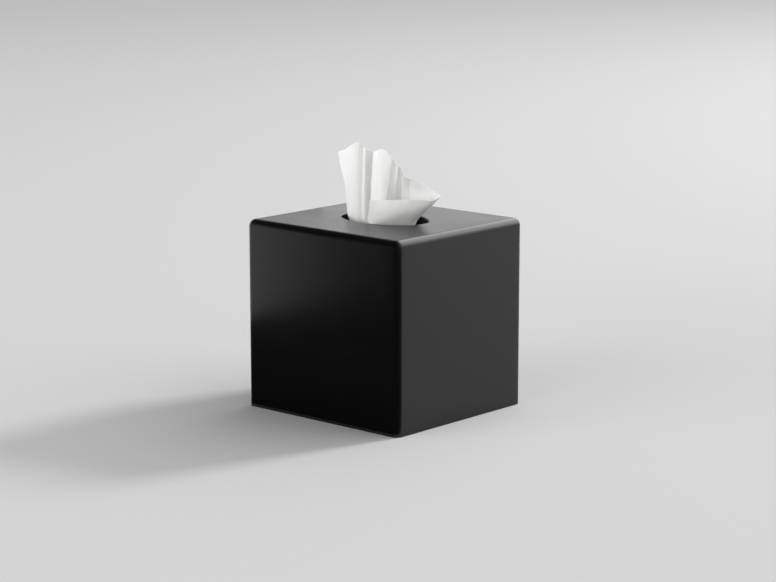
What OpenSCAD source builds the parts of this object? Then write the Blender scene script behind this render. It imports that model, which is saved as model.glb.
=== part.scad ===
// Tissue box holder: a moulded black cover over a cube carton of tissues.
// Origin at the centre of the footprint, on the table. +Z is up and the long side runs along X.

/* [Carton] */
// Length of the carton along X
carton_w = 112; // [106:1:120]
// Depth of the carton along Y
carton_d = 112; // [108:1:120]
// Height of the carton
carton_h = 119; // [114:1:130]
// Thickness of the card
card_t = 0.6; // [0.4:0.1:1]
// Length of the cut-out in the carton's top
window_l = 90; // [86:1:94]
// Width of the cut-out in the carton's top
window_w = 64; // [58:1:70]
// Radius of the ends of the cut-out
window_end_r = 24; // [18:1:27]
// Length of the two side flaps under the carton
side_flap = 45; // [30:1:50]
// How far the two bottom flaps overlap
flap_lap = 28; // [15:1:40]

/* [Cover] */
// Thickness of the side walls
wall = 4; // [2.5:0.5:6]
// Thickness of the top
top_t = 4; // [2.5:0.5:6]
// Radius of the outer edges
edge_r = 5; // [3:0.5:8]
// Free space beside the carton, on each side along X
side_gap = 9; // [2:0.5:14]
// Free space in front of and behind the carton
front_gap = 5; // [2:0.5:12]
// Free space above the carton
head_gap = 8; // [4:0.5:12]

/* [Opening] */
// Length of the oval opening
opening_l = 69; // [62:1:78]
// Width of the oval opening
opening_w = 47.5; // [44:0.5:54]
// Radius of the ends of the oval
opening_end_r = 17; // [13:0.5:19]
// Radius of the rounded lip around the opening
lip_r = 1; // [0.4:0.1:1.8]

/* [Film window] */
// Thickness of the clear film
film_t = 0.3; // [0.2:0.1:0.5]
// Width of the glued margin of the film
film_margin = 6; // [4:0.5:8]
// Radius of the corners of the film
film_corner_r = 10; // [6:1:14]
// Length of the slit as it is spread by the tissue
slit_l = 63; // [58:1:68]
// Width of the slit as it is spread by the tissue
slit_w = 15; // [13:0.5:20]
// Radius of the ends of the slit
slit_end_r = 3; // [2:0.5:4]

/* [Tissues] */
// Width of one sheet
sheet_w = 185; // [175:1:195]
// Length of one sheet, in the direction in which it is pulled
sheet_l = 200; // [180:1:206]
// Thickness of the sheet, with the air between its plies
sheet_t = 0.4; // [0.3:0.05:0.6]
// How far the peak of the sheet stands above the cover
sheet_rise = 52; // [40:1:70]
// Height of the pile that is left in the carton
pile_h = 96; // [80:1:102]
// Radius over which the pile bends down at its sides
pile_r = 30; // [20:1:36]
// Free space beside the pile, on each side along X
pile_gap = 3.4; // [2.6:0.1:6]

/* [Hidden] */
$fn = 96;

cover_w = carton_w + 2*side_gap + 2*wall;
cover_d = carton_d + 2*front_gap + 2*wall;
cover_h = carton_h + head_gap + top_t;
inner_r = max(edge_r - wall, 0.5);

flaps_t = 3*card_t;
film_top = carton_h - card_t;
film_l = window_l + 2*film_margin;
film_w = window_w + 2*film_margin;

pile_w = carton_w - 2*card_t - 2*pile_gap;
pile_d = sheet_l/2;
pile_top = flaps_t + pile_h;
pile_flat = pile_w/2 - pile_r;
bend = pile_r*PI/2;

// How far the lying half of the sheet and the half folded back over it stand off the pile
lie_off = 0.5;
back_off = 2;
// Width and place of the gathered neck where it leaves the pile
neck_w = 42;
neck_y = 8;
neck_off = 3;
// Pleats that run from the neck to the fold
pleats = 9;
pleat_h = 2.4;

// Extra length that carries a cut clear of a face
clear = 1;

// Radius of the two long sides of a four-arc oval
function side_r(l, w, end_r) = ((l/2)^2 + (w/2)^2 - l*end_r) / (w - 2*end_r);

module oval(l, w, end_r) {
    r = side_r(l, w, end_r);
    meet = atan2(r - w/2, l/2 - end_r);
    for (s = [-1, 1]) translate([s*(l/2 - end_r), 0]) circle(r = end_r);
    intersection() {
        translate([0, w/2 - r]) circle(r = r, $fn = 240);
        translate([0, r - w/2]) circle(r = r, $fn = 240);
        square([2*(l/2 - end_r + end_r*cos(meet)), w + clear], center = true);
    }
}

// Block on the table with round upright edges, and round top edges where top is above 0
module round_block(w, d, h, r, top) {
    x = w/2 - r;
    y = d/2 - r;
    translate([-w/2, -y, 0]) cube([w, 2*y, h - top]);
    translate([-x, -d/2, 0]) cube([2*x, d, h - top]);
    for (i = [-1, 1], j = [-1, 1]) translate([i*x, j*y, 0]) cylinder(r = r, h = h - top);
    if (top > 0) {
        translate([-x, -y, 0]) cube([2*x, 2*y, h]);
        for (j = [-1, 1]) translate([-x, j*y, h - r]) rotate([0, 90, 0]) cylinder(r = r, h = 2*x);
        for (i = [-1, 1]) translate([i*x, -y, h - r]) rotate([-90, 0, 0]) cylinder(r = r, h = 2*y);
        for (i = [-1, 1], j = [-1, 1]) translate([i*x, j*y, h - r]) sphere(r = r);
    }
}

// Points round an oval at height z, moved outwards by off
function oval_ring(l, w, end_r, off, z) = let (
    r = side_r(l, w, end_r),
    x = l/2 - end_r,
    y = r - w/2,
    meet = atan2(y, x))
    [for (arc = [[x, 0, end_r, -meet, meet, 24], [0, -y, r, meet, 180 - meet, 36],
                 [-x, 0, end_r, 180 - meet, 180 + meet, 24], [0, y, r, 180 + meet, 360 - meet, 36]],
          i = [0:arc[5] - 1])
        let (a = arc[3] + (arc[4] - arc[3])*i/arc[5])
            [arc[0] + (arc[2] + off)*cos(a), arc[1] + (arc[2] + off)*sin(a), z]];

// The hole through the cover's top, wider at its upper edge by a quarter round lip
module opening_cut() {
    lip_steps = 4;
    profile = concat([[0, cover_h - top_t - clear]],
        [for (i = [0:lip_steps]) let (a = 90*i/lip_steps)
            [lip_r*(1 - cos(a)), cover_h - lip_r + lip_r*sin(a)]],
        [[lip_r, cover_h + clear]]);
    rings = [for (p = profile) oval_ring(opening_l, opening_w, opening_end_r, p.x, p.y)];
    n = len(rings[0]);
    top = len(rings) - 1;
    polyhedron([for (r = rings) each r], concat(
        [[for (j = [0:n - 1]) j], [for (j = [n - 1:-1:0]) top*n + j]],
        [for (i = [0:top - 1], j = [0:n - 1]) let (a = i*n + j, b = i*n + (j + 1) % n)
            each [[a, a + n, b + n], [a, b + n, b]]]));
}

module cover() {
    color("#151516") difference() {
        round_block(cover_w, cover_d, cover_h, edge_r, edge_r);
        translate([0, 0, -clear])
            round_block(cover_w - 2*wall, cover_d - 2*wall, cover_h - top_t + clear, inner_r, 0);
        opening_cut();
    }
}

// One glued-up blank: side walls, a top with its cut-out, and three layers of flaps at the bottom
module carton() {
    inner_w = carton_w - 2*card_t;
    inner_d = carton_d - 2*card_t;
    color("#3a3b3d") {
        difference() {
            translate([-carton_w/2, -carton_d/2, 0]) cube([carton_w, carton_d, carton_h]);
            translate([-inner_w/2, -inner_d/2, -clear]) cube([inner_w, inner_d, carton_h - card_t + clear]);
            translate([0, 0, carton_h - card_t - clear])
                linear_extrude(card_t + 2*clear) oval(window_l, window_w, window_end_r);
        }
        // The outer bottom flap, the flap under it and the two short side flaps on top of both
        front_edge = flap_lap/2;
        translate([-inner_w/2, -inner_d/2, 0]) cube([inner_w, inner_d/2 + front_edge, card_t]);
        translate([-inner_w/2, -front_edge, card_t]) cube([inner_w, inner_d/2 + front_edge, card_t]);
        translate([-inner_w/2, -inner_d/2, 2*card_t]) cube([side_flap, inner_d, card_t]);
        translate([inner_w/2 - side_flap, -inner_d/2, 2*card_t]) cube([side_flap, inner_d, card_t]);
    }
}

module film_window() {
    color("#dfe6ea", 0.4) translate([0, 0, film_top - film_t]) linear_extrude(film_t) difference() {
        union() {
            for (d = [0, film_corner_r]) square([film_l - 2*d, film_w - 2*(film_corner_r - d)], center = true);
            for (i = [-1, 1], j = [-1, 1])
                translate([i*(film_l/2 - film_corner_r), j*(film_w/2 - film_corner_r)]) circle(r = film_corner_r);
        }
        oval(slit_l, slit_w, slit_end_r);
    }
}

module tissue_pile() {
    color("#f7f7f5") translate([0, pile_d/2, 0]) rotate([90, 0, 0]) linear_extrude(pile_d) {
        translate([-pile_w/2, flaps_t]) square([pile_w, pile_h - pile_r]);
        translate([-pile_flat, flaps_t]) square([2*pile_flat, pile_h]);
        for (s = [-1, 1]) translate([s*pile_flat, pile_top - pile_r]) circle(r = pile_r);
    }
}

// The standing sheet is drawn by rows of points, from its free edge down to the slit. A row runs
// from the left end of the sheet, over its folds and round the loop on the right, to the end of
// the cuff in front. Points are in percent of half the opening and of the rise.
free_edge = [
    [-109, -26, 83], [-75, -41, 92], [-47, -36, 102], [-43, -14, 92], [-32, -36, 94], [-23, 4, 83],
    [-9, -34, 90], [17, -34, 95], [33, -22, 84], [27, 0, 74], [24, 12, 66], [28, 22, 70],
    [32, 27, 57], [39, 44, 53], [55, 53, 50], [79, 59, 43], [118, 49, 35], [119, 15, 30],
    [104, -17, 33], [90, -37, 33], [64, -59, 32], [33, -75, 30], [0, -61, 27], [-12, -46, 26]];
below_edge = [
    [-105, -25, 62], [-74, -42, 68], [-49, -38, 76], [-42, -17, 70], [-31, -39, 70], [-22, 0, 64],
    [-11, -36, 68], [9, -38, 72], [29, -26, 63], [26, -3, 57], [25, 10, 52], [27, 20, 52],
    [32, 25, 42], [42, 33, 40], [57, 40, 38], [78, 44, 32], [104, 42, 25], [112, 12, 23],
    [98, -18, 25], [84, -40, 25], [60, -64, 24], [32, -80, 22], [3, -66, 20], [-12, -47, 19]];
half_way = [
    [-95, -24, 40], [-72, -43, 44], [-49, -41, 48], [-41, -21, 45], [-31, -43, 45], [-22, -4, 43],
    [-14, -38, 43], [6, -41, 46], [25, -30, 41], [25, -6, 37], [26, 8, 34], [29, 19, 34],
    [34, 25, 27], [44, 31, 26], [57, 38, 24], [74, 41, 20], [90, 37, 15], [98, 6, 14],
    [88, -21, 16], [75, -44, 16], [55, -69, 15], [31, -87, 13], [7, -76, 12], [-12, -50, 11]];
at_rim = [
    [-87, -23], [-70, -40], [-49, -42], [-39, -25], [-31, -45], [-20, -11],
    [-14, -40], [3, -44], [17, -34], [23, -13], [26, 4], [32, 17],
    [38, 23], [44, 27], [52, 31], [61, 29], [72, 19], [74, -4],
    [67, -25], [58, -50], [46, -84], [29, -111], [9, -92], [-12, -58]];
// Percent of half the slit
at_slit = [
    [-92, 0], [-79, -25], [-63, -45], [-54, -13], [-44, -50], [-35, 13],
    [-32, -45], [-13, -33], [6, -13], [19, 20], [32, 47], [41, 60],
    [51, 61], [60, 55], [70, 45], [79, 30], [89, 0], [82, -27],
    [68, -48], [52, -63], [30, -74], [8, -77], [-12, -76], [-28, -70]];
// Points where the sheet has a sharp fold
creases = [4, 6, 8, 16];
// Height over which the slit holds the sheet straight
hold_h = 2;

sheet_cols = 81;
stand_rows = 13;
back_rows = 4;

// Smooth line of n + 1 points from the first to the last of the points c, drawn towards the others
function smooth(c, n) = let (m = len(c), e = concat([c[0]], c, [c[m - 1]]))
    [for (k = [0:n]) let (i = min(floor(k*m/n), m - 1), t = k*m/n - i)
        (1 - t)^2/2*e[i] + (0.5 + t - t^2)*e[i + 1] + t^2/2*e[i + 2]];

function creased(c) = [for (i = [0:len(c) - 1], k = [0:len(search(i, creases))]) c[i]];

function over_opening(row) = [for (p = row) [p.x*opening_l/200, p.y*opening_w/200, cover_h + p.z*sheet_rise/100]];
function in_rim(row) = [for (p = row) [p.x*opening_l/200, p.y*opening_w/200, cover_h - lip_r]];
function in_slit(row, z) = [for (p = row) [p.x*slit_l/200, p.y*slit_w/200, z]];

// Point at distance a from the middle of the pile, measured over its top and down its side
function on_pile(a, y, off) = let (s = sign(a), past = abs(a) - pile_flat, turn = past/bend*90, r = pile_r + off)
    past < 0 ? [a, y, pile_top + off] :
    turn < 90 ? [s*(pile_flat + r*sin(turn)), y, pile_top - pile_r + r*cos(turn)] :
    [s*(pile_flat + r), y, pile_top - pile_r - (past - bend)];

function unit(v) = v/max(norm(v), 0.000001);

// Grid of points moved by d along its normals
function shifted(g, d) = let (m = len(g) - 1, n = len(g[0]) - 1)
    [for (i = [0:m]) [for (j = [0:n])
        g[i][j] + d*unit(cross(g[min(i + 1, m)][j] - g[max(i - 1, 0)][j],
                               g[i][min(j + 1, n)] - g[i][max(j - 1, 0)]))]];

function sheet_grid() = let (
    slit_z = film_top - film_t/2,
    last = len(free_edge) - 1,
    rows = [for (r = [
            over_opening(free_edge), over_opening(below_edge), over_opening(half_way), in_rim(at_rim),
            in_slit(at_slit, slit_z + hold_h), in_slit(at_slit, slit_z - hold_h),
            [for (i = [0:last]) on_pile((i/last - 0.5)*neck_w, neck_y, neck_off)]
        ]) smooth(creased(r), sheet_cols)],
    stand = [for (j = [0:sheet_cols]) smooth([for (r = rows) r[j]], stand_rows)],
    across = [for (j = [0:sheet_cols]) j/sheet_cols - 0.5])
    concat(
        [for (i = [0:stand_rows]) [for (j = [0:sheet_cols]) stand[j][i]]],
        [for (i = [1:back_rows]) let (w = i/back_rows) [for (u = across)
            on_pile(u*((1 - w)*neck_w + w*sheet_w), (1 - w)*neck_y + w*pile_d/2,
                (1 - w)*neck_off + w*back_off + (1 - w)*pleat_h*(1 - cos(360*pleats*(u + 0.5)))/2)]],
        [[for (u = across) on_pile(u*sheet_w, pile_d/2 + back_off/3, (back_off + lie_off)/2)]],
        [for (y = [pile_d/2, -pile_d/2]) [for (u = across) on_pile(u*sheet_w, y, lie_off)]]);

// One closed skin round the two faces of the sheet
module sheet_skin(g) {
    m = len(g) - 1;
    n = len(g[0]) - 1;
    half = (m + 1)*(n + 1);
    function at(i, j) = i*(n + 1) + j;
    border = concat([for (j = [0:n - 1]) at(0, j)], [for (i = [0:m - 1]) at(i, n)],
        [for (j = [n:-1:1]) at(m, j)], [for (i = [m:-1:1]) at(i, 0)]);
    cells = [for (i = [0:m - 1], j = [0:n - 1]) [at(i, j), at(i, j + 1), at(i + 1, j + 1), at(i + 1, j)]];
    points = concat([for (r = shifted(g, sheet_t/2)) each r], [for (r = shifted(g, -sheet_t/2)) each r]);
    faces = concat(
        [for (c = cells) each [[c[0], c[1], c[2]], [c[0], c[2], c[3]]]],
        [for (c = cells) each [half*[1, 1, 1] + [c[0], c[2], c[1]], half*[1, 1, 1] + [c[0], c[3], c[2]]]],
        [for (k = [0:len(border) - 1]) let (a = border[k], b = border[(k + 1) % len(border)])
            each [[a, a + half, b + half], [a, b + half, b]]]);
    polyhedron(points, faces);
}

module tissue() {
    color("#fbfbfa") sheet_skin(sheet_grid());
}

cover();
carton();
film_window();
tissue_pile();
tissue();
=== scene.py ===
import math

import bmesh
import bpy
import numpy as np
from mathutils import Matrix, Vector, noise


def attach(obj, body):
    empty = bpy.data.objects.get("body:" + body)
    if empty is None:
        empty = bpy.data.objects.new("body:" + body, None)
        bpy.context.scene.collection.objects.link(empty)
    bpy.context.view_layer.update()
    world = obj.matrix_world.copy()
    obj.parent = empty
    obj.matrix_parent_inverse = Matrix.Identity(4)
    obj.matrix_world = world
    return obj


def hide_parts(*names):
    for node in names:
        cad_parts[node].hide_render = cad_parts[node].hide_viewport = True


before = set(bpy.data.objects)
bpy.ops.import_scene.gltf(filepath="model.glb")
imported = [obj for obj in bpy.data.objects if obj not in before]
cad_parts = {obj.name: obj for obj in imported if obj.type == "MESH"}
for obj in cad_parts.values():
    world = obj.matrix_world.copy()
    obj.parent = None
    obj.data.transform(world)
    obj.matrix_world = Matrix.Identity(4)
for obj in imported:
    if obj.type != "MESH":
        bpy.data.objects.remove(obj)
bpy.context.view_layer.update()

# Camera: a long lens that looks from the front right and from 11 degrees above the table, as in
# the photograph.
VIEW_TURN = math.radians(41.649)
VIEW_RISE = math.radians(11.175)
camera_back = Vector((
    math.sin(VIEW_TURN)*math.cos(VIEW_RISE),
    -math.cos(VIEW_TURN)*math.cos(VIEW_RISE),
    math.sin(VIEW_RISE)))
camera = bpy.data.objects.new("camera", bpy.data.cameras.new("camera"))
camera.data.sensor_width = 36
camera.data.lens = 111.30
camera.data.clip_start = 0.1
camera.location = (1.078377, -1.209208, 0.400267)
camera.rotation_mode = "QUATERNION"
camera.rotation_quaternion = (-camera_back).to_track_quat("-Z", "Y")
bpy.context.scene.collection.objects.link(camera)
bpy.context.scene.camera = camera


# Cover: one injection moulded shell of black ABS, open below, that stands loosely over the
# carton. Every outer edge is rounded to 5 mm, and the oval in its top has a small round lip.
MM = 0.001
COVER_W = 138*MM
COVER_D = 130*MM
COVER_H = 131*MM
COVER_WALL = 4*MM
COVER_TOP = 4*MM
COVER_ROUND = 5*MM
COVER_INNER_ROUND = 1*MM
FOOT_ROUND = 0.35*MM
OVAL_L = 69*MM
OVAL_W = 47.5*MM
OVAL_END = 17*MM
OVAL_LIP = 1*MM
# A flat face starts this far inside its rounded edge, and is shaded flat from there
FACE_EDGE = 0.08*MM
CORNER_STEPS = 16
SIDE_STEPS = 14
ROUND_STEPS = 14
RING = 4*(CORNER_STEPS + SIDE_STEPS)


def linear(colour):
    """An sRGB hex colour as the linear values that a shader takes."""
    parts = [int(colour[i:i + 2], 16)/255 for i in (1, 3, 5)]
    return [c/12.92 if c <= 0.04045 else ((c + 0.055)/1.055)**2.4 for c in parts] + [1.0]


def add_node(tree, kind, settings=None, values=None, links=None):
    """A node with its settings, the values of its inputs, and what is linked to them."""
    node = tree.nodes.new(kind)
    for name, value in (settings or {}).items():
        setattr(node, name, value)
    for name, value in (values or {}).items():
        node.inputs[name].default_value = value
    for name, source in (links or {}).items():
        tree.links.new(source, node.inputs[name])
    return node


def new_material(name, colour, values):
    """A material with one Principled shader, its tree and that shader."""
    material = bpy.data.materials.new(name)
    material.use_nodes = True
    shader = material.node_tree.nodes["Principled BSDF"]
    shader.inputs["Base Color"].default_value = linear(colour)
    for socket, value in values.items():
        shader.inputs[socket].default_value = value
    return material, material.node_tree, shader


def new_piece(name, mesh, material):
    """A smooth shaded object of this mesh, which rides on the only body."""
    mesh.materials.clear()
    mesh.materials.append(material)
    mesh.shade_smooth()
    piece = bpy.data.objects.new(name, mesh)
    bpy.context.scene.collection.objects.link(piece)
    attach(piece, "root")
    return piece


# Moulded ABS with a satin spark-eroded skin: near black, with broad soft reflections. The
# grain of the skin is drawn at 0.35 mm, a little coarser than the real one, so that it shows.
satin_abs, tree, shader = new_material("satin_moulded_abs", "#080809", {"IOR": 1.5})
place = add_node(tree, "ShaderNodeTexCoord").outputs["Object"]
grain = add_node(tree, "ShaderNodeTexNoise", values={"Scale": 1/(0.35*MM), "Detail": 2.0},
                 links={"Vector": place})
flow = add_node(tree, "ShaderNodeTexNoise", values={"Scale": 1/(25*MM), "Detail": 3.0},
                links={"Vector": place})
gloss = add_node(tree, "ShaderNodeMapRange", values={"To Min": 0.26, "To Max": 0.34},
                 links={"Value": flow.outputs["Fac"]})
skin = add_node(tree, "ShaderNodeBump", values={"Strength": 0.15, "Distance": 0.02*MM},
                links={"Height": grain.outputs["Fac"]})
tree.links.new(gloss.outputs["Result"], shader.inputs["Roughness"])
tree.links.new(skin.outputs["Normal"], shader.inputs["Normal"])


def box_ring(inset, radius, z):
    """Points round the cover's plan, moved inwards by inset, with corners of this radius."""
    x, y = COVER_W/2 - inset - radius, COVER_D/2 - inset - radius
    corners = []
    for quarter, (cx, cy) in enumerate(((x, y), (-x, y), (-x, -y), (x, -y))):
        turns = [math.pi/2*(quarter + k/CORNER_STEPS) for k in range(CORNER_STEPS + 1)]
        corners.append([Vector((cx + radius*math.cos(t), cy + radius*math.sin(t), z)) for t in turns])
    ring = []
    for arc, following in zip(corners, corners[1:] + corners[:1]):
        ring += arc
        ring += [arc[-1].lerp(following[0], k/SIDE_STEPS) for k in range(1, SIDE_STEPS)]
    return ring


def oval_ring(off, z):
    """Points round the oval, moved outwards by off, each facing the same point of box_ring."""
    side = ((OVAL_L/2)**2 + (OVAL_W/2)**2 - OVAL_L*OVAL_END)/(OVAL_W - 2*OVAL_END)
    x, y = OVAL_L/2 - OVAL_END, side - OVAL_W/2
    meet = math.atan2(y, x)
    arcs = ((x, 0, OVAL_END, -meet, meet), (0, -y, side, meet, math.pi - meet),
            (-x, 0, OVAL_END, math.pi - meet, math.pi + meet),
            (0, y, side, math.pi + meet, 2*math.pi - meet))
    lengths = [radius*(end - start) for _, _, radius, start, end in arcs]
    ring = []
    for k in range(RING):
        part = 0.125 + (k - CORNER_STEPS/2)/RING
        along = (part*sum(lengths) + lengths[0]/2) % sum(lengths)
        for (cx, cy, radius, start, end), length in zip(arcs, lengths):
            if along <= length:
                break
            along -= length
        turn = start + (end - start)*along/length
        ring.append(Vector((cx + (radius + off)*math.cos(turn), cy + (radius + off)*math.sin(turn), z)))
    return ring


def quarter_turn(steps):
    """Cosine and sine of the angles of a quarter round, from 0 to 90 degrees."""
    return [(math.cos(math.pi/2*k/steps), math.sin(math.pi/2*k/steps)) for k in range(steps + 1)]


ceiling = COVER_H - COVER_TOP
rings = [oval_ring(0, ceiling), oval_ring(FACE_EDGE, ceiling),
         box_ring(COVER_WALL + FACE_EDGE, COVER_INNER_ROUND, ceiling),
         box_ring(COVER_WALL, COVER_INNER_ROUND, ceiling - FACE_EDGE),
         box_ring(COVER_WALL, COVER_INNER_ROUND, FOOT_ROUND + FACE_EDGE)]
for c, s in quarter_turn(4):
    rings.append(box_ring(COVER_WALL - FOOT_ROUND*(1 - c), COVER_INNER_ROUND, FOOT_ROUND*(1 - s)))
for c, s in quarter_turn(4):
    rings.append(box_ring(FOOT_ROUND*(1 - s), COVER_ROUND - FOOT_ROUND*(1 - s), FOOT_ROUND*(1 - c)))
rings += [box_ring(0, COVER_ROUND, FOOT_ROUND + FACE_EDGE),
          box_ring(0, COVER_ROUND, COVER_H - COVER_ROUND - FACE_EDGE)]
for c, s in quarter_turn(ROUND_STEPS):
    rings.append(box_ring(COVER_ROUND*(1 - c), COVER_ROUND*c, COVER_H - COVER_ROUND*(1 - s)))
rings += [box_ring(COVER_ROUND + FACE_EDGE, 0, COVER_H), oval_ring(OVAL_LIP + FACE_EDGE, COVER_H)]
for c, s in quarter_turn(8):
    rings.append(oval_ring(OVAL_LIP*(1 - s), COVER_H - OVAL_LIP*(1 - c)))
rings.append(oval_ring(0, ceiling + FACE_EDGE))


def ring_mesh(name, rings):
    """A closed mesh of faces between rings of points, where the last ring joins the first."""
    shell = bmesh.new()
    loops = [[shell.verts.new(p) for p in ring] for ring in rings]
    for low, high in zip(loops, loops[1:] + loops[:1]):
        for k in range(len(low)):
            after = (k + 1) % len(low)
            shell.faces.new((low[k], low[after], high[after], high[k]))
    bmesh.ops.remove_doubles(shell, verts=shell.verts, dist=1e-7)
    bmesh.ops.dissolve_degenerate(shell, edges=shell.edges, dist=1e-7)
    bmesh.ops.recalc_face_normals(shell, faces=shell.faces)
    mesh = bpy.data.meshes.new(name)
    shell.to_mesh(mesh)
    shell.free()
    return mesh


cover = new_piece("moulded_cover", ring_mesh("moulded_cover", rings), satin_abs)
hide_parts("cover")


# Carton: one blank of thin coated card, glued up into a box. It stands inside the cover, with
# a cut-out in its top and three layers of flaps below. Its coat is matt charcoal, a little
# cloudy, over the fine relief of the pulp.
coated_card, tree, shader = new_material("clay_coated_card", "#3a3b3d", {"Roughness": 0.62})
place = add_node(tree, "ShaderNodeTexCoord").outputs["Object"]
fibre = add_node(tree, "ShaderNodeTexNoise", values={"Scale": 1/(0.6*MM), "Detail": 4.0},
                 links={"Vector": place})
cloud = add_node(tree, "ShaderNodeTexNoise", values={"Scale": 1/(18*MM), "Detail": 2.0},
                 links={"Vector": place})
shade = add_node(tree, "ShaderNodeMix", {"data_type": "RGBA"},
                 {"A": linear("#343537"), "B": linear("#404143")}, {"Factor": cloud.outputs["Fac"]})
pulp = add_node(tree, "ShaderNodeBump", values={"Strength": 0.3, "Distance": 0.03*MM},
                links={"Height": fibre.outputs["Fac"]})
tree.links.new(shade.outputs["Result"], shader.inputs["Base Color"])
tree.links.new(pulp.outputs["Normal"], shader.inputs["Normal"])
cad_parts["carton"].data.materials.clear()
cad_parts["carton"].data.materials.append(coated_card)


# Film window: clear polyethylene film, glued under the carton's top. The slit in it holds the
# sheet up. The film is nearly flat, with a little slack that bends what it mirrors.
clear_film, tree, shader = new_material(
    "clear_polyethylene_film", "#e9eef0", {"Roughness": 0.12, "IOR": 1.5, "Alpha": 0.22})
place = add_node(tree, "ShaderNodeTexCoord").outputs["Object"]
pull = add_node(tree, "ShaderNodeTexNoise", values={"Scale": 1/(14*MM), "Detail": 1.0},
                links={"Vector": place})
slack = add_node(tree, "ShaderNodeBump", values={"Strength": 0.5, "Distance": 0.4*MM},
                 links={"Height": pull.outputs["Fac"]})
tree.links.new(slack.outputs["Normal"], shader.inputs["Normal"])
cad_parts["film_window"].data.materials.clear()
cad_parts["film_window"].data.materials.append(clear_film)


# Tissue: one folded sheet of soft two-ply paper. Its lower half lies over the pile, its middle
# is gathered up through the slit, and its upper half stands above the cover in loose folds.
SHEET_W = 185*MM
SHEET_RISE = 52*MM
SHEET_PLY = 0.3*MM
SLIT_L = 63*MM
SLIT_W = 15*MM
SLIT_Z = 118.25*MM
SLIT_HOLD = 2*MM
PILE_TOP = 97.8*MM
PILE_FLAT = 22*MM
PILE_ROUND = 30*MM
PILE_D = 100*MM
NECK = (42*MM, 8*MM, 3*MM)
LIE_OFF = 0.5*MM
BACK_OFF = 2*MM
PLEATS = 9
PLEAT_H = 2.4*MM
SHEET_COLS = 280
STAND_ROWS = 56
BACK_ROWS = 14
# The faint creases are this deep from CREASE_FULL above their start, just inside the opening
CREASE_DEPTH = 0.42*MM
CREASE_START = 6*MM
CREASE_FULL = 20*MM

# Rows of points round the standing part, from the sheet's left end over its folds, round the
# loop on the right, to the end of the cuff in front. They are in percent of half the opening.
free_edge = [
    [-109, -26, 83], [-75, -41, 90], [-47, -36, 103], [-43, -14, 86], [-34, -36, 94], [-27, -37, 92],
    [-22, 4, 83], [-9, -34, 89], [17, -34, 96], [33, -22, 83], [33, -1, 74], [25, 12, 66], [28, 22, 70],
    [32, 27, 57], [39, 44, 53], [55, 53, 50], [79, 59, 43], [118, 49, 35], [119, 15, 30],
    [104, -17, 33], [90, -37, 33], [64, -59, 32], [33, -75, 30], [0, -61, 27], [-12, -46, 26]]
below_edge = [
    [-103, -25, 62], [-74, -42, 68], [-49, -38, 76], [-42, -17, 70], [-33, -39, 70], [-26, -40, 69],
    [-22, 0, 64], [-11, -36, 68], [9, -38, 72], [29, -26, 63], [30, -4, 57], [25, 10, 52], [27, 20, 52],
    [32, 25, 42], [42, 33, 40], [57, 40, 38], [78, 44, 32], [104, 42, 25], [112, 12, 23],
    [98, -18, 25], [84, -40, 25], [60, -64, 24], [32, -80, 22], [3, -66, 20], [-12, -47, 19]]
half_way = [
    [-89, -24, 40], [-72, -43, 44], [-49, -41, 48], [-41, -21, 45], [-33, -43, 45], [-26, -44, 45],
    [-22, -4, 43], [-14, -38, 43], [6, -41, 46], [25, -30, 41], [28, -7, 37], [26, 8, 34], [29, 19, 34],
    [34, 25, 27], [44, 31, 26], [57, 38, 24], [74, 41, 20], [90, 37, 15], [98, 6, 14],
    [88, -21, 16], [75, -44, 16], [55, -69, 15], [31, -87, 13], [7, -76, 12], [-12, -50, 11]]
at_rim = [
    [-87, -23], [-70, -40], [-49, -42], [-39, -25], [-33, -45], [-27, -45], [-20, -11],
    [-14, -40], [3, -44], [17, -34], [24, -14], [26, 4], [32, 17],
    [38, 23], [44, 27], [52, 31], [58, 27], [67, 16], [70, -5],
    [62, -28], [53, -54], [41, -86], [27, -109], [9, -92], [-12, -58]]
at_slit = [
    [-92, 0], [-79, -25], [-63, -45], [-54, -13], [-44, -50], [-41, -20], [-35, 13],
    [-32, -45], [-13, -33], [6, -13], [19, 20], [32, 47], [41, 60],
    [51, 61], [60, 55], [70, 45], [79, 30], [89, 0], [82, -27],
    [68, -48], [52, -63], [30, -74], [8, -77], [-12, -76], [-28, -70]]
SHARP_FOLDS = (4, 7, 9, 17)


def smooth_line(points, count):
    """count + 1 points of a soft curve from the first to the last of these points."""
    points = np.asarray(points, float)
    ends = np.concatenate([points[:1], points, points[-1:]])
    at = np.arange(count + 1)*len(points)/count
    i = np.minimum(at.astype(int), len(points) - 1)
    t = (at - i).reshape([-1] + [1]*(points.ndim - 1))
    return (1 - t)**2/2*ends[i] + (0.5 + t - t*t)*ends[i + 1] + t*t/2*ends[i + 2]


def over_opening(row):
    """A row of percentages as points over the opening, where the third is of the sheet's rise."""
    row = np.array([list(p) + [0]*(3 - len(p)) for p in row], float)
    scale = np.array([OVAL_L/200, OVAL_W/200, SHEET_RISE/100])
    base = COVER_H - (OVAL_LIP if not row[:, 2].any() else 0)
    return row*scale + [0, 0, base]


def in_slit(row, z):
    """A row of percentages as points in the film's slit at this height."""
    return np.array([[x*SLIT_L/200, y*SLIT_W/200, z] for x, y in row])


def on_pile(a, y, off):
    """The point at distance a from the middle of the pile, over its top and down its side."""
    bend = PILE_ROUND*math.pi/2
    side = math.copysign(1, a)
    past = abs(a) - PILE_FLAT
    radius = PILE_ROUND + off
    if past < 0:
        return [a, y, PILE_TOP + off]
    if past < bend:
        turn = past/PILE_ROUND
        return [side*(PILE_FLAT + radius*math.sin(turn)), y,
                PILE_TOP - PILE_ROUND + radius*math.cos(turn)]
    return [side*(PILE_FLAT + radius), y, PILE_TOP - PILE_ROUND - (past - bend)]


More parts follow.
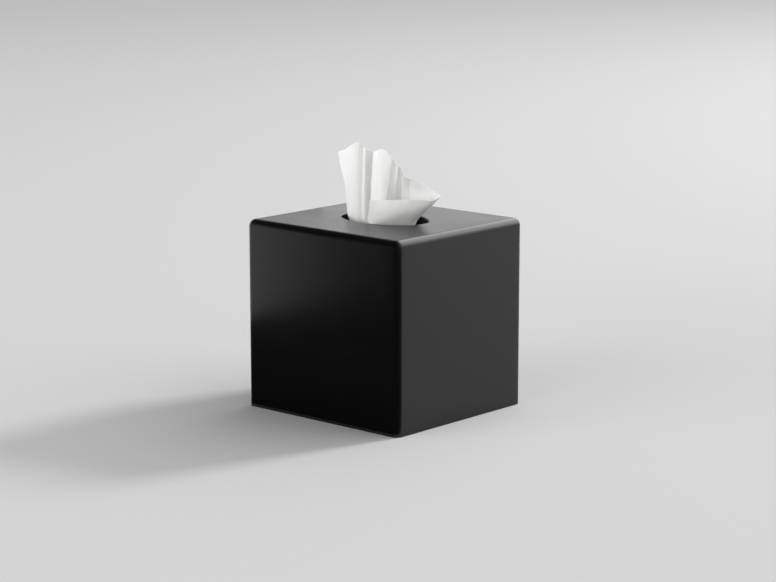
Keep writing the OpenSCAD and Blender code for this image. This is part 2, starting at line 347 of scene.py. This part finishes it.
last = len(free_edge) - 1
neck_w, neck_y, neck_off = NECK
nets = [over_opening(free_edge), over_opening(below_edge), over_opening(half_way),
        over_opening(at_rim), in_slit(at_slit, SLIT_Z + SLIT_HOLD),
        in_slit(at_slit, SLIT_Z - SLIT_HOLD),
        np.array([on_pile((i/last - 0.5)*neck_w, neck_y, neck_off) for i in range(last + 1)])]
folded = [np.array([p for i, p in enumerate(net) for _ in range(2 if i in SHARP_FOLDS else 1)])
          for net in nets]
stand = smooth_line(np.array([smooth_line(net, SHEET_COLS) for net in folded]), STAND_ROWS)
across = np.arange(SHEET_COLS + 1)/SHEET_COLS - 0.5
lying = []
for i in range(1, BACK_ROWS + 1):
    w = i/BACK_ROWS
    width, y = (1 - w)*neck_w + w*SHEET_W, (1 - w)*neck_y + w*PILE_D/2
    lying.append([on_pile(u*width, y, (1 - w)*neck_off + w*BACK_OFF
                          + (1 - w)*PLEAT_H*(1 - math.cos(2*math.pi*PLEATS*(u + 0.5)))/2)
                  for u in across])
for y, off in ((PILE_D/2 + BACK_OFF/3, (BACK_OFF + LIE_OFF)/2), (PILE_D/2, LIE_OFF), (0, LIE_OFF),
               (-PILE_D/2, LIE_OFF)):
    lying.append([on_pile(u*SHEET_W, y, off) for u in across])
grid = np.concatenate([stand, np.array(lying)])

# The paper's own softness: faint upright creases, from gathering it in the slit
normal = np.cross(np.gradient(grid, axis=0), np.gradient(grid, axis=1))
normal /= np.maximum(np.linalg.norm(normal, axis=2, keepdims=True), 1e-12)
steps = np.linalg.norm(np.diff(grid, axis=0), axis=2).mean(axis=1)
along = np.concatenate([[0], np.cumsum(steps)])
soft = np.zeros(grid.shape[:2])
for i in range(STAND_ROWS + 1):
    rise = grid[i, :, 2].mean() - COVER_H
    depth = CREASE_DEPTH*min(1, max(0, (rise + CREASE_START)/CREASE_FULL))
    for j in range(SHEET_COLS + 1):
        u, v = across[j]*SHEET_W, along[i]
        soft[i, j] = depth*(noise.noise(Vector((u/(7*MM), v/(45*MM), 0.3)))
                            + 0.4*noise.noise(Vector((u/(2.6*MM), v/(22*MM), 4.1))))
grid = grid + normal*soft[:, :, None]

mesh = bpy.data.meshes.new("standing_tissue")
rows, cols = grid.shape[:2]
corners = [(i*cols + j, i*cols + j + 1, (i + 1)*cols + j + 1, (i + 1)*cols + j)
           for i in range(rows - 1) for j in range(cols - 1)]
mesh.from_pydata(grid.reshape(-1, 3).tolist(), [], corners)
flat_map = mesh.uv_layers.new(name="flat_sheet")
flat_uv = np.stack(np.meshgrid(across*SHEET_W, along), axis=2).reshape(-1, 2)
loop_verts = np.zeros(len(mesh.loops), int)
mesh.loops.foreach_get("vertex_index", loop_verts)
flat_map.data.foreach_set("uv", flat_uv[loop_verts].astype(np.float32).ravel())

# Creped tissue paper: matt white, thin enough for light to come through, with fine crepe
# lines across its length. Their spacing is drawn at 0.7 mm, about twice the real one. A wave
# texture of scale 1 has its lines WAVE_STEP apart.
CREPE_STEP = 0.7*MM
WAVE_STEP = 2*math.pi/20
tissue_paper, tree, shader = new_material(
    "creped_tissue_paper", "#eeeeec",
    {"Roughness": 0.95, "Specular IOR Level": 0.15, "Subsurface Weight": 1.0,
     "Subsurface Scale": 1.0*MM, "Subsurface Radius": (1.0, 1.0, 1.0)})
sheet_place = add_node(tree, "ShaderNodeUVMap", {"uv_map": "flat_sheet"}).outputs["UV"]
crepe = add_node(tree, "ShaderNodeTexWave", {"bands_direction": "Y"},
                 {"Scale": WAVE_STEP/CREPE_STEP, "Distortion": 3.0, "Detail": 2.0,
                  "Detail Scale": 0.6}, {"Vector": sheet_place})
fluff = add_node(tree, "ShaderNodeTexNoise", values={"Scale": 1/(0.9*MM), "Detail": 5.0},
                 links={"Vector": sheet_place})
surface = add_node(tree, "ShaderNodeMix", {"data_type": "FLOAT"}, {"Factor": 0.5},
                   {"A": crepe.outputs["Fac"], "B": fluff.outputs["Fac"]})
relief = add_node(tree, "ShaderNodeBump", values={"Strength": 0.25, "Distance": 0.06*MM},
                  links={"Height": surface.outputs["Result"]})
tree.links.new(relief.outputs["Normal"], shader.inputs["Normal"])

tissue = new_piece("standing_tissue", mesh, tissue_paper)
thickness = tissue.modifiers.new("two_plies", "SOLIDIFY")
thickness.thickness = SHEET_PLY
thickness.offset = 0
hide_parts("tissue")


# Pile: the folded tissues that are left, bent over in an inverted U inside the carton. Each
# layer is a thin sheet, and their edges show as lines at the front and back of the pile.
PILE_POINTS = 73
PILE_INPUTS = (("Layers", "NodeSocketInt", 38), ("Pitch", "NodeSocketFloat", 1.3*MM),
               ("Half Flat", "NodeSocketFloat", PILE_FLAT),
               ("Bend Radius", "NodeSocketFloat", PILE_ROUND),
               ("Top", "NodeSocketFloat", PILE_TOP), ("Base", "NodeSocketFloat", 1.8*MM),
               ("Depth", "NodeSocketFloat", PILE_D - 1.6*MM), ("Ply", "NodeSocketFloat", 1.1*MM),
               ("Ragged", "NodeSocketFloat", 0.7*MM), ("Seed", "NodeSocketInt", 7))
# Each step has a name, an operation, and the two steps, inputs or numbers that it joins. The
# first steps give how far in a layer lies and how its bend tightens, the next ones a point's
# place along the layer, and the last ones its x, y and z.
PILE_STEPS = (
    ("inset", "MULTIPLY", "Layer", "Pitch"), ("round_left", "SUBTRACT", "Bend Radius", "inset"),
    ("radius", "MAXIMUM", "round_left", 0.0), ("round_gone", "SUBTRACT", "inset", "Bend Radius"),
    ("pinch", "MAXIMUM", "round_gone", 0.0), ("flat_left", "SUBTRACT", "Half Flat", "pinch"),
    ("half", "MAXIMUM", "flat_left", 0.0), ("bend", "MULTIPLY", "Bend Radius", math.pi/2),
    ("shoulder", "SUBTRACT", "Top", "Bend Radius"), ("leg", "SUBTRACT", "shoulder", "Base"),
    ("to_bend_end", "ADD", "Half Flat", "bend"), ("reach", "ADD", "to_bend_end", "leg"),
    ("span", "MULTIPLY", "reach", 2.0), ("off_middle", "SUBTRACT", "Along", 0.5),
    ("at", "MULTIPLY", "off_middle", "span"), ("side", "SIGN", "at", 0.0),
    ("far", "ABSOLUTE", "at", 0.0),
    ("on_flat", "MINIMUM", "far", "Half Flat"), ("flat_part", "DIVIDE", "on_flat", "Half Flat"),
    ("past_flat", "SUBTRACT", "far", "Half Flat"), ("bend_share", "DIVIDE", "past_flat", "bend"),
    ("bend_begun", "MAXIMUM", "bend_share", 0.0), ("bend_part", "MINIMUM", "bend_begun", 1.0),
    ("turn", "MULTIPLY", "bend_part", math.pi/2), ("sine", "SINE", "turn", 0.0),
    ("cosine", "COSINE", "turn", 0.0), ("flat_x", "MULTIPLY", "flat_part", "half"),
    ("bend_x", "MULTIPLY", "radius", "sine"), ("out", "ADD", "flat_x", "bend_x"),
    ("x", "MULTIPLY", "out", "side"), ("shift", "SUBTRACT", "Stray", 0.5),
    ("y", "MULTIPLY", "shift", "Ragged"), ("layer_top", "SUBTRACT", "Top", "inset"),
    ("middle", "SUBTRACT", "layer_top", "radius"), ("past_bend", "SUBTRACT", "past_flat", "bend"),
    ("on_leg", "MAXIMUM", "past_bend", 0.0), ("leg_part", "DIVIDE", "on_leg", "leg"),
    ("crown", "MULTIPLY", "radius", "cosine"), ("bend_z", "ADD", "middle", "crown"),
    ("leg_height", "SUBTRACT", "middle", "Base"), ("fall", "MULTIPLY", "leg_part", "leg_height"),
    ("z", "SUBTRACT", "bend_z", "fall"))

# Stacked tissue paper, soft and matt, with the fine fuzz of its fibres
stacked_paper, tree, shader = new_material(
    "stacked_tissue_paper", "#f1f1ee", {"Roughness": 0.95, "Specular IOR Level": 0.15})
place = add_node(tree, "ShaderNodeTexCoord").outputs["Object"]
fuzz = add_node(tree, "ShaderNodeTexNoise", values={"Scale": 1/(0.9*MM), "Detail": 5.0},
                links={"Vector": place})
relief = add_node(tree, "ShaderNodeBump", values={"Strength": 0.25, "Distance": 0.06*MM},
                  links={"Height": fuzz.outputs["Fac"]})
tree.links.new(relief.outputs["Normal"], shader.inputs["Normal"])


def layered_pile(name, material):
    """The tree that draws one bent sheet after another, each inside the one before."""
    tree = bpy.data.node_groups.new(name, "GeometryNodeTree")
    tree.interface.new_socket("Geometry", in_out="OUTPUT", socket_type="NodeSocketGeometry")
    for title, kind, _ in PILE_INPUTS:
        tree.interface.new_socket(title, in_out="INPUT", socket_type=kind)
    given = tree.nodes.new("NodeGroupInput").outputs
    line = add_node(tree, "GeometryNodeCurvePrimitiveLine")
    line = add_node(tree, "GeometryNodeResampleCurve", values={"Count": PILE_POINTS},
                    links={"Curve": line.outputs["Curve"]})
    copies = add_node(tree, "GeometryNodeDuplicateElements", {"domain": "SPLINE"},
                      links={"Geometry": line.outputs["Curve"], "Amount": given["Layers"]})
    stray = add_node(tree, "FunctionNodeRandomValue", {"data_type": "FLOAT"},
                     links={"ID": copies.outputs["Duplicate Index"], "Seed": given["Seed"]})
    known = {title: given[title] for title, _, _ in PILE_INPUTS}
    known["Layer"] = copies.outputs["Duplicate Index"]
    known["Along"] = add_node(tree, "GeometryNodeSplineParameter").outputs["Factor"]
    known["Stray"] = stray.outputs[1]
    for title, operation, first, second in PILE_STEPS:
        step = add_node(tree, "ShaderNodeMath", {"operation": operation, "label": title})
        for socket, source in zip(step.inputs, (first, second)):
            if source in known:
                tree.links.new(known[source], socket)
            else:
                socket.default_value = source
        known[title] = step.outputs["Value"]
    spot = add_node(tree, "ShaderNodeCombineXYZ",
                    links={"X": known["x"], "Y": known["y"], "Z": known["z"]})
    bent = add_node(tree, "GeometryNodeSetPosition",
                    links={"Geometry": copies.outputs["Geometry"], "Position": spot.outputs["Vector"]})
    turned = add_node(tree, "GeometryNodeSetCurveNormal", {"mode": "FREE"}, {"Normal": (0, 1, 0)},
                      {"Curve": bent.outputs["Geometry"]})
    section = add_node(tree, "GeometryNodeCurvePrimitiveQuadrilateral",
                       links={"Width": given["Depth"], "Height": given["Ply"]})
    sheets = add_node(tree, "GeometryNodeCurveToMesh", values={"Fill Caps": True},
                      links={"Curve": turned.outputs["Curve"],
                             "Profile Curve": section.outputs["Curve"]})
    real = add_node(tree, "GeometryNodeRealizeInstances", links={"Geometry": sheets.outputs["Mesh"]})
    dressed = add_node(tree, "GeometryNodeSetMaterial", values={"Material": material},
                       links={"Geometry": real.outputs["Geometry"]})
    add_node(tree, "NodeGroupOutput", links={"Geometry": dressed.outputs["Geometry"]})
    return tree


pile_tree = layered_pile("layered_pile", stacked_paper)
blank = bpy.data.objects.new("pile_blank", bpy.data.meshes.new("pile_blank"))
bpy.context.scene.collection.objects.link(blank)
layers = blank.modifiers.new("layers", "NODES")
layers.node_group = pile_tree
sizes = {title: value for title, _, value in PILE_INPUTS}
for item in pile_tree.interface.items_tree:
    if item.in_out == "INPUT":
        layers[item.identifier] = sizes[item.name]
pile_mesh = bpy.data.meshes.new_from_object(
    blank.evaluated_get(bpy.context.evaluated_depsgraph_get()))
bpy.data.objects.remove(blank)
pile = new_piece("layered_tissues", pile_mesh, stacked_paper)
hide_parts("tissue_pile")


# Stage: a plain pale floor without a join, a large soft lamp behind the object, a weaker one in
# front, and cards round it that only its gloss shows, which paint dark reflections, a sheen and
# highlights on it. None of it is part of the object.
def stage_sheet(name, corners, material):
    """A flat sheet of the stage between these corners."""
    mesh = bpy.data.meshes.new(name)
    mesh.from_pydata(corners, [], [tuple(range(len(corners)))])
    mesh.materials.append(material)
    sheet = bpy.data.objects.new(name, mesh)
    bpy.context.scene.collection.objects.link(sheet)
    return sheet


# Matt painted board, without gloss of its own
floor_board, _, _ = new_material(
    "matt_pale_board", "#ececec", {"Roughness": 1.0, "Specular IOR Level": 0.0})
FLOOR = 9.0
stage_sheet("floor", [(-FLOOR, -FLOOR, 0), (FLOOR, -FLOOR, 0), (FLOOR, FLOOR, 0), (-FLOOR, FLOOR, 0)],
            floor_board)

# A dark sheet lies in front of the object and at its right, a painted dark reflection in its
# front and edges. A low glowing card at its left, brightest next to it, paints a reflection on its
# front, a far one paints a sheen on its top, and a high one paints highlights on its round edges.
# Painted dark reflection: a black sheet that only the cover's gloss sees, standing in for shade
painted_dark_reflection, _, _ = new_material("painted_dark_reflection", "#050505", {"Roughness": 1.0})
# Painted reflection: a card that glows, though it is no lamp, seen only in gloss; its glow is painted
# brightest next to the object and dim further out
near_glow_card, tree, shader = new_material("painted_reflection_glow", "#000000", {"Emission Color": (1, 1, 1, 1)})
place = add_node(tree, "ShaderNodeTexCoord").outputs["Object"]
depth = add_node(tree, "ShaderNodeSeparateXYZ", links={"Vector": place}).outputs["Y"]
painted_glow_falloff = add_node(tree, "ShaderNodeMapRange", {"interpolation_type": "SMOOTHSTEP"},
                {"From Min": -0.24, "From Max": -0.07, "To Min": 0.10, "To Max": 0.85},
                {"Value": depth})
tree.links.new(painted_glow_falloff.outputs["Result"], shader.inputs["Emission Strength"])
# Painted sheen: a card that glows, though it is no lamp, seen only in gloss on the cover's top
far_sheen_card, _, _ = new_material(
    "painted_sheen_glow", "#000000", {"Emission Color": (1, 1, 1, 1), "Emission Strength": 1.25})
# Painted highlight: a brighter card that glows, though it is no lamp, seen only in gloss on the cover's
# round edges
high_highlight_card, _, _ = new_material(
    "painted_highlight_glow", "#000000", {"Emission Color": (1, 1, 1, 1), "Emission Strength": 4.0})
cards = [
    ("dark_reflection_card", painted_dark_reflection, [(-0.90, -2.00, 0.002), (1.60, -2.00, 0.002), (1.60, 0.82, 0.002),
                               (0.070, -0.0635, 0.002), (-0.90, -0.0655, 0.002)]),
    ("near_card", near_glow_card, [(-0.105, 0.05, 0.052), (-0.105, -0.40, 0.052),
                               (-0.105, -0.40, 0.150), (-0.105, 0.05, 0.150)]),
    ("far_sheen_card", far_sheen_card, [(-0.25, 1.05, 0.0), (-1.00, 0.25, 0.0),
                            (-1.00, 0.25, 0.42), (-0.25, 1.05, 0.42)]),
    ("high_highlight_card", high_highlight_card, [(1.60, 2.00, 0.60), (-1.10, 2.00, 0.60),
                              (-1.10, 2.00, 2.50), (1.60, 2.00, 2.50)])]
for name, material, corners in cards:
    card = stage_sheet(name, corners, material)
    card.visible_camera = False
    card.visible_diffuse = False
    card.visible_transmission = False
    card.visible_shadow = False


def soft_lamp(name, place, target, size, glow):
    """A soft area lamp of this width and height, turned to a target, that no gloss shows."""
    lamp = bpy.data.lights.new(name, "AREA")
    lamp.shape = "RECTANGLE"
    lamp.size, lamp.size_y = size
    lamp.energy = glow*math.pi*size[0]*size[1]
    holder = bpy.data.objects.new(name, lamp)
    holder.location = place
    holder.rotation_euler = (Vector(target) - Vector(place)).to_track_quat("-Z", "Y").to_euler()
    holder.visible_camera = False
    holder.visible_glossy = False
    bpy.context.scene.collection.objects.link(holder)


soft_lamp("key_lamp", (1.00, 3.40, 2.20), (0, 0, 0.08), (0.75, 0.75), 44.0)
soft_lamp("front_fill", (-1.00, -4.05, 0.75), (0, 0, 0.1), (5.0, 1.4), 6.0)

# The room is brighter towards the key lamp, and a little brighter all round except in gloss
room = bpy.data.worlds.new("room")
bpy.context.scene.world = room
room.use_nodes = True
tree = room.node_tree
way = add_node(tree, "ShaderNodeTexCoord").outputs["Generated"]
facing = add_node(tree, "ShaderNodeVectorMath", {"operation": "DOT_PRODUCT"})
tree.links.new(way, facing.inputs[0])
facing.inputs[1].default_value = (0.45, 0.85, 0.28)
light = add_node(tree, "ShaderNodeMapRange", {"interpolation_type": "SMOOTHSTEP"},
                 {"From Min": 0.05, "From Max": 0.85, "To Min": 0.03, "To Max": 0.95},
                 {"Value": facing.outputs["Value"]})
gloss_ray = add_node(tree, "ShaderNodeLightPath").outputs["Is Glossy Ray"]
even = add_node(tree, "ShaderNodeMapRange", values={"To Min": 0.12, "To Max": 0.0},
                links={"Value": gloss_ray})
both = add_node(tree, "ShaderNodeMath", {"operation": "ADD"})
tree.links.new(light.outputs["Result"], both.inputs[0])
tree.links.new(even.outputs["Result"], both.inputs[1])
background = tree.nodes["Background"]
background.inputs["Color"].default_value = (1, 1, 1, 1)
tree.links.new(both.outputs["Value"], background.inputs["Strength"])

bpy.context.scene.view_settings.view_transform = "Standard"
